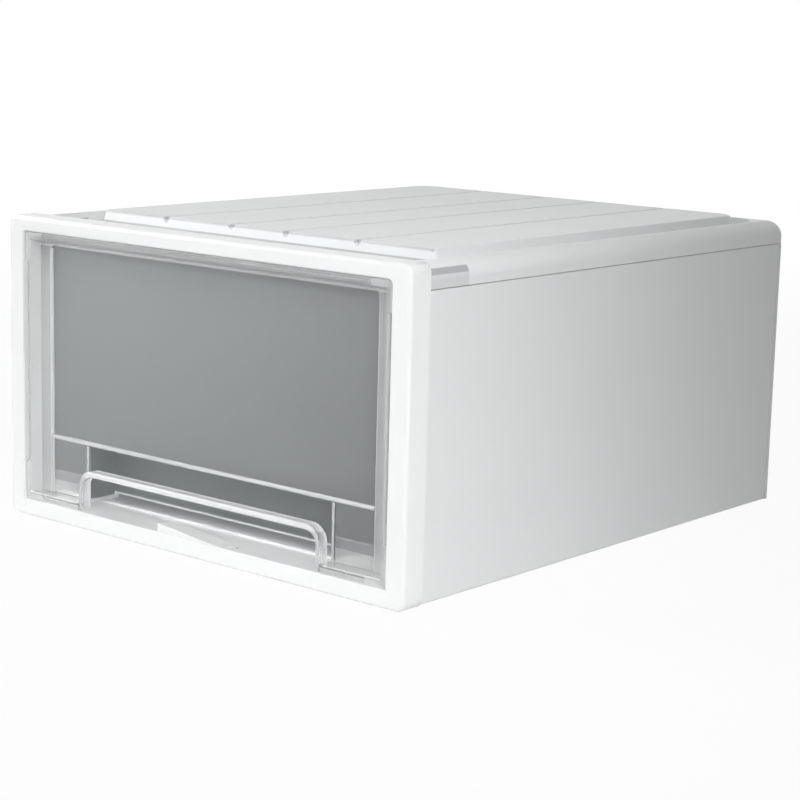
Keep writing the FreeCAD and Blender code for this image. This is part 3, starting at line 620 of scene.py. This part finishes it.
# %% Grids to meshes
def grid_faces(rows, columns, offset=0):
    """Quads between each row and the next, closed round the columns."""
    row, column = np.meshgrid(np.arange(rows - 1), np.arange(columns), indexing="ij")
    first = row * columns + column
    second = row * columns + (column + 1) % columns
    quads = np.stack([first, second, second + columns, first + columns], axis=-1)
    return quads.reshape(-1, 4) + offset


def enclosed(mesh):
    """Six times the volume inside a mesh: the sum of each triangle's triple product."""
    mesh.calc_loop_triangles()
    corners = np.empty(len(mesh.loop_triangles) * 3, int)
    mesh.loop_triangles.foreach_get("vertices", corners)
    places = np.empty(len(mesh.vertices) * 3)
    mesh.vertices.foreach_get("co", places)
    triangles = places.reshape(-1, 3)[corners].reshape(-1, 3, 3)
    return np.einsum("ij,ij->i", triangles[:, 0], np.cross(triangles[:, 1], triangles[:, 2])).sum()


def tubes(name, grids, finish, body, slot_name, *replaced):
    """One piece from grids of rings (rows, columns, 3). Each grid is closed by a face at either end."""
    faces = []
    offset = 0
    for grid in grids:
        rows, columns = grid.shape[:2]
        faces += grid_faces(rows, columns, offset).tolist()
        faces.append((np.arange(columns)[::-1] + offset).tolist())
        faces.append((np.arange(columns) + offset + (rows - 1) * columns).tolist())
        offset += rows * columns
    mesh = bpy.data.meshes.new(name)
    points = np.concatenate([grid.reshape(-1, 3) for grid in grids])
    mesh.from_pydata(points.tolist(), [], faces)
    if enclosed(mesh) < 0:
        mesh.flip_normals()
    mesh.shade_smooth()
    mesh.materials.append(finish)
    piece = bpy.data.objects.new(name, mesh)
    bpy.context.scene.collection.objects.link(piece)
    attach(piece, body)
    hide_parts(*replaced)
    print(name, "has", len(mesh.polygons), "faces")
    return piece


def keep_edges(piece, degrees):
    """Marks edges sharper than that angle, so that flat ends stay flat and round sides stay smooth."""
    piece.data.set_sharp_from_angle(angle=math.radians(degrees))


print("a grid of 3 by 4 points becomes", len(grid_faces(3, 4)), "faces")

# %% [markdown]
# The handle is a clear arch over the finger pocket. On the real box it is moulded with rounded front
# edges and a shallow channel along its inner side, which keeps the plastic even and gives the bar its
# bright stripes. A plain block can't show those, so the section is drawn once and carried along the
# arch: up one leg, round the corner, along the bar and down the other leg. Its wall grows from leg to
# bar through the corner, and each leg's heel is rounded where it meets the rim of the front.

# %% Handle
CREASE_ANGLE = 50
HANDLE_CORNER = 0.0115
LEG_WALL = 0.0026
BAR_TALL = 0.0037
HEEL_ROUND = 0.0022
SOFT_FRONT = 0.0010
SOFT_REAR = 0.0005
CHANNEL_DEPTH = 0.0005
ARC_STEPS = 7
CHANNEL_STEPS = 9


def arch_path(heel_steps=8, leg_steps=12, corner_steps=20, bar_steps=30):
    """Outer line of the arch: leg, quarter circle, bar, quarter circle, leg. Also its inward direction
    and its wall, which follows the smooth step 3u² - 2u³ of the turn u, less a quarter circle's rise
    r - sqrt(r² - d²) at the heel, where d is the reach into the heel."""
    centre_x = handle_high.x - HANDLE_CORNER
    centre_z = handle_high.z - HANDLE_CORNER
    turn = np.linspace(0, math.pi / 2, corner_steps)
    heel = handle_low.z + HEEL_ROUND * (1 - np.cos(np.linspace(0, math.pi / 2, heel_steps, endpoint=False)))
    rise = np.concatenate([heel, np.linspace(handle_low.z + HEEL_ROUND, centre_z, leg_steps, endpoint=False)])
    leg_steps += heel_steps
    along = np.linspace(-centre_x, 0, bar_steps, endpoint=False)[1:]
    x = np.concatenate([np.full(leg_steps, -handle_high.x), -centre_x - HANDLE_CORNER * np.cos(turn), along])
    z = np.concatenate([rise, centre_z + HANDLE_CORNER * np.sin(turn), np.full(len(along), handle_high.z)])
    angle = np.concatenate([np.zeros(leg_steps), turn, np.full(len(along), math.pi / 2)])
    share = angle / (math.pi / 2)
    wall = LEG_WALL + (BAR_TALL - LEG_WALL) * share**2 * (3 - 2 * share)
    reach = np.clip(handle_low.z + HEEL_ROUND - z, 0, HEEL_ROUND)
    wall = wall - HEEL_ROUND + np.sqrt(HEEL_ROUND**2 - reach**2)
    inward = np.stack([np.cos(angle), -np.sin(angle)], axis=-1)
    half = np.stack([x, z], axis=-1)
    flip = np.array([-1, 1])
    line = np.concatenate([half, (half * flip)[::-1]])
    return line, np.concatenate([inward, (inward * flip)[::-1]]), np.concatenate([wall, wall[::-1]])


def arch_section(wall):
    """Outline of the bar as (depth into the wall, place along y): a rectangle with quarter-circle
    corners, whose inner side is hollowed by depth * (1 - u²) with u from 1 to -1. Where the wall is
    thinner than a leg, the corners and the hollow shrink with it."""
    turn = np.linspace(0, math.pi / 2, ARC_STEPS)[None, :]
    wall = wall[:, None]
    shrink = np.minimum(1, wall / LEG_WALL)
    soft_front, soft_rear = SOFT_FRONT * shrink, SOFT_REAR * shrink
    front, rear = handle_low.y, handle_high.y
    middle = (front + soft_front + rear - soft_rear) / 2
    half = (rear - soft_rear - front - soft_front) / 2
    u = np.linspace(1, -1, CHANNEL_STEPS + 2)[None, 1:-1]
    deep = np.concatenate([
        soft_front * (1 - np.sin(turn)),
        soft_rear * (1 - np.cos(turn)),
        wall - soft_rear * (1 - np.sin(turn)),
        wall - CHANNEL_DEPTH * shrink * (1 - u**2),
        wall - soft_front * (1 - np.cos(turn)),
    ], axis=1)
    along = np.concatenate([
        front + soft_front * (1 - np.cos(turn)),
        rear - soft_rear * (1 - np.sin(turn)),
        rear - soft_rear * (1 - np.cos(turn)),
        middle + half * u,
        front + soft_front * (1 - np.sin(turn)),
    ], axis=1)
    return deep, along


def sweep_handle():
    """Each section point stands at the outer line plus its depth along the inward direction."""
    line, inward, wall = arch_path()
    deep, along = arch_section(wall)
    x = line[:, None, 0] + inward[:, None, 0] * deep
    z = line[:, None, 1] + inward[:, None, 1] * deep
    grid = np.stack([x, along, z], axis=-1)
    return tubes("clear_arch", [grid], clear_handle_finish, "drawer", "clear_handle", "handle_bar")


handle = sweep_handle()
keep_edges(handle, CREASE_ANGLE)

# %% [markdown]
# The rivets that close the housing are plastic drive rivets. Each has a plain stem and a low domed head
# with a small dimple where its pin went in. The construction model has flat heads, so each rivet is
# turned again on its own axis from a profile of radius and height.

# %% Rivets
DOME_SHARE = 0.45
DIMPLE_SHARE = 0.30
DIMPLE_DEPTH_SHARE = 0.35
ROUND_STEPS = 40
PROFILE_STEPS = 9
POLE_REACH = 0.000002


def node_points(name):
    """The places of a construction piece's points, one row each."""
    mesh = nodes[name].data
    places = np.empty(len(mesh.vertices) * 3, np.float32)
    mesh.vertices.foreach_get("co", places)
    return places.reshape(-1, 3).astype(float)


def four_of(name, first, second):
    """The four solids of a piece, told apart by which side of its middle they lie on."""
    points = node_points(name)
    middle = (points.min(0) + points.max(0)) / 2
    high_first = points[:, first] > middle[first]
    high_second = points[:, second] > middle[second]
    return [points[(high_first == a) & (high_second == b)] for a in (False, True) for b in (False, True)]


def rivet_profile(stem, head, tall):
    """Radius and height, from the middle of the stem's end to the middle of the head. The dome is a
    quarter of an ellipse round the head's rim, and the dimple in its middle is half a cosine wave."""
    turn = np.linspace(0, math.pi / 2, PROFILE_STEPS)
    rim = tall * (1 - DOME_SHARE)
    dome_radius = head * (1 - DOME_SHARE) + head * DOME_SHARE * np.cos(turn)
    dome_height = rim + (tall - rim) * np.sin(turn)
    share = np.linspace(1, 0, PROFILE_STEPS)
    dip = tall * DIMPLE_DEPTH_SHARE * (1 + np.cos(math.pi * share)) / 2
    radius = np.concatenate([[0, stem, stem, head], dome_radius, head * DIMPLE_SHARE * share])
    height = np.concatenate([[0, 0, 1, 1], 1 + dome_height, 1 + tall - dip])
    return radius, height


def turn_rivet(points, axis, outward):
    """A rivet turned on its own axis: centre + radius * (cos, sin) round it. Its stem's end, its head's
    seat and its reach are read from the construction solid."""
    across = [other for other in range(3) if other != axis]
    low, high = points.min(0), points.max(0)
    middle = (low + high) / 2
    away = np.hypot(*(points - middle)[:, across].T)
    head = away.max()
    stem = away.min()
    along = points[:, axis] * outward
    seat = along[away > (head + stem) / 2].min()
    tall = along.max() - seat
    radius, height = rivet_profile(stem, head, tall)
    height = np.where(height <= 1, along.min() + (seat - along.min()) * height, seat + height - 1)
    around = np.linspace(0, 2 * math.pi, ROUND_STEPS, endpoint=False)
    grid = np.empty((len(radius), ROUND_STEPS, 3))
    grid[..., across[0]] = middle[across[0]] + radius[:, None] * np.cos(around)
    grid[..., across[1]] = middle[across[1]] + radius[:, None] * np.sin(around)
    grid[..., axis] = (height * outward)[:, None]
    return grid


def close_poles(piece):
    """Merges the points that meet at each pole into one."""
    shape = bmesh.new()
    shape.from_mesh(piece.data)
    bmesh.ops.remove_doubles(shape, verts=shape.verts, dist=POLE_REACH)
    shape.to_mesh(piece.data)
    shape.free()


back_grids = [turn_rivet(points, 1, 1) for points in four_of("back_rivets", 0, 2)]
base_grids = [turn_rivet(points, 2, -1) for points in four_of("base_rivets", 0, 1)]
back_heads = tubes("back_drive_rivets", back_grids, rivet_white, "housing", "white_fastener", "back_rivets")
base_heads = tubes("base_drive_rivets", base_grids, rivet_white, "housing", "white_fastener", "base_rivets")
for heads in (back_heads, base_heads):
    close_poles(heads)
    keep_edges(heads, CREASE_ANGLE)

# %% [markdown]
# The studio: a white sweep with no seam. The floor keeps the soft shadow of the box close to it and
# fades to plain white further out, so that no horizon shows. A real sweep does this with paper and a
# lamp of its own. Here the floor's own glow does it, seen by the camera and by gloss and clear plastic.

# %% Floor and world
FLOOR_HALF = 6.0
FLOOR_GLOW = 0.93
FADE_START = 0.7
FADE_END = 1.8
PAPER = (0.85, 0.85, 0.85, 1)
WHITE = (1, 1, 1, 1)


def seen_plainly(start):
    """1 for rays from the camera, and for those mirrored or bent by gloss and clear plastic."""
    path = "ShaderNodeLightPath"
    rays = ["Is Camera Ray", "Is Glossy Ray", "Is Transmission Ray"]
    seen, mirrored, bent = [start.node(path, output=ray) for ray in rays]
    return start.sum("MAXIMUM", start.sum("MAXIMUM", seen, mirrored), bent)


def lay_floor():
    """A pale floor that glows white to the eye and still takes the lamps' light and the shadow."""
    mesh = bpy.data.meshes.new("floor")
    corners = [(-1, -1), (1, -1), (1, 1), (-1, 1)]
    mesh.from_pydata([(FLOOR_HALF * x, FLOOR_HALF * y, 0) for x, y in corners], [], [(0, 1, 2, 3)])
    floor = bpy.data.objects.new("floor", mesh)
    bpy.context.scene.collection.objects.link(floor)
    material, start, place = new_finish("studio_floor")
    distance = start.node("ShaderNodeVectorMath", {"operation": "LENGTH"}, {0: place}, "Value")
    seen = seen_plainly(start)
    glow = seen * distance.step(FADE_START, FADE_END).between(FLOOR_GLOW, 1.0)
    paper = start.node("ShaderNodeBsdfDiffuse", inputs={"Color": PAPER})
    white = start.node("ShaderNodeEmission", inputs={"Color": WHITE, "Strength": 1.0})
    mixed = start.node("ShaderNodeMixShader", inputs={0: glow, 1: paper, 2: white})
    start.node("ShaderNodeOutputMaterial", inputs={"Surface": mixed})
    floor.data.materials.append(material)
    return floor


def light_world(ambient):
    """White behind everything, and a weaker even light on the object."""
    world = bpy.data.worlds.new("studio")
    bpy.context.scene.world = world
    world.use_nodes = True
    world.node_tree.nodes.clear()
    start = Wire(world.node_tree)
    strength = seen_plainly(start).between(ambient, 1.0)
    inputs = {"Color": WHITE, "Strength": strength}
    sky = start.node("ShaderNodeBackground", inputs=inputs)
    start.node("ShaderNodeOutputWorld", inputs={"Surface": sky})


AMBIENT = 0.2
floor = lay_floor()
light_world(AMBIENT)
print("floor reaches", FLOOR_HALF, "m each way")

# %% [markdown]
# Five soft lamps, each far enough away to keep its shadows gentle. Two on the left light the front frame
# and the cover. A small one at the front right has a grid before it, so its beam is narrow and the side
# wall darkens from the front corner to the back. Two weak ones lift the sill and the rear a little.

# %% Lamps
# Each lamp: where it stands, where it faces, its width, its beam in degrees, and its power in watts.
BOX_MIDDLE = Vector((0, 0, 0.1))
FRONT_CORNER = Vector((0.17, -0.30, 0.15))
LAMPS = {
    "key": (Vector((-1.6, -0.9, 0.7)), BOX_MIDDLE, 1.0, 180, 22.4),
    "left": (Vector((-2.0, 0.0, 1.0)), BOX_MIDDLE, 1.2, 180, 6.4),
    "gridded": (Vector((1.1, -0.9, 0.8)), FRONT_CORNER, 0.5, 40, 1.08),
    "front": (Vector((-0.2, -2.0, 1.5)), BOX_MIDDLE, 1.0, 180, 1.8),
    "rear": (Vector((0.3, 1.6, 1.5)), BOX_MIDDLE, 1.4, 180, 2.6),
}


def hang_lamp(name, place, target, width, spread, power):
    """A square soft lamp that faces its target. Spread is the angle of its beam in degrees."""
    data = bpy.data.lights.new(name, "AREA")
    data.shape = "SQUARE"
    data.size = width
    data.spread = math.radians(spread)
    data.energy = power
    lamp = bpy.data.objects.new(name, data)
    bpy.context.scene.collection.objects.link(lamp)
    aim = (target - place).to_track_quat("-Z", "Y")
    lamp.matrix_world = Matrix.Translation(place) @ aim.to_matrix().to_4x4()
    return lamp


lamps = [hang_lamp(name, *facts) for name, facts in LAMPS.items()]
bpy.context.scene.view_settings.view_transform = "Standard"
print("lamps:", [lamp.name for lamp in lamps])
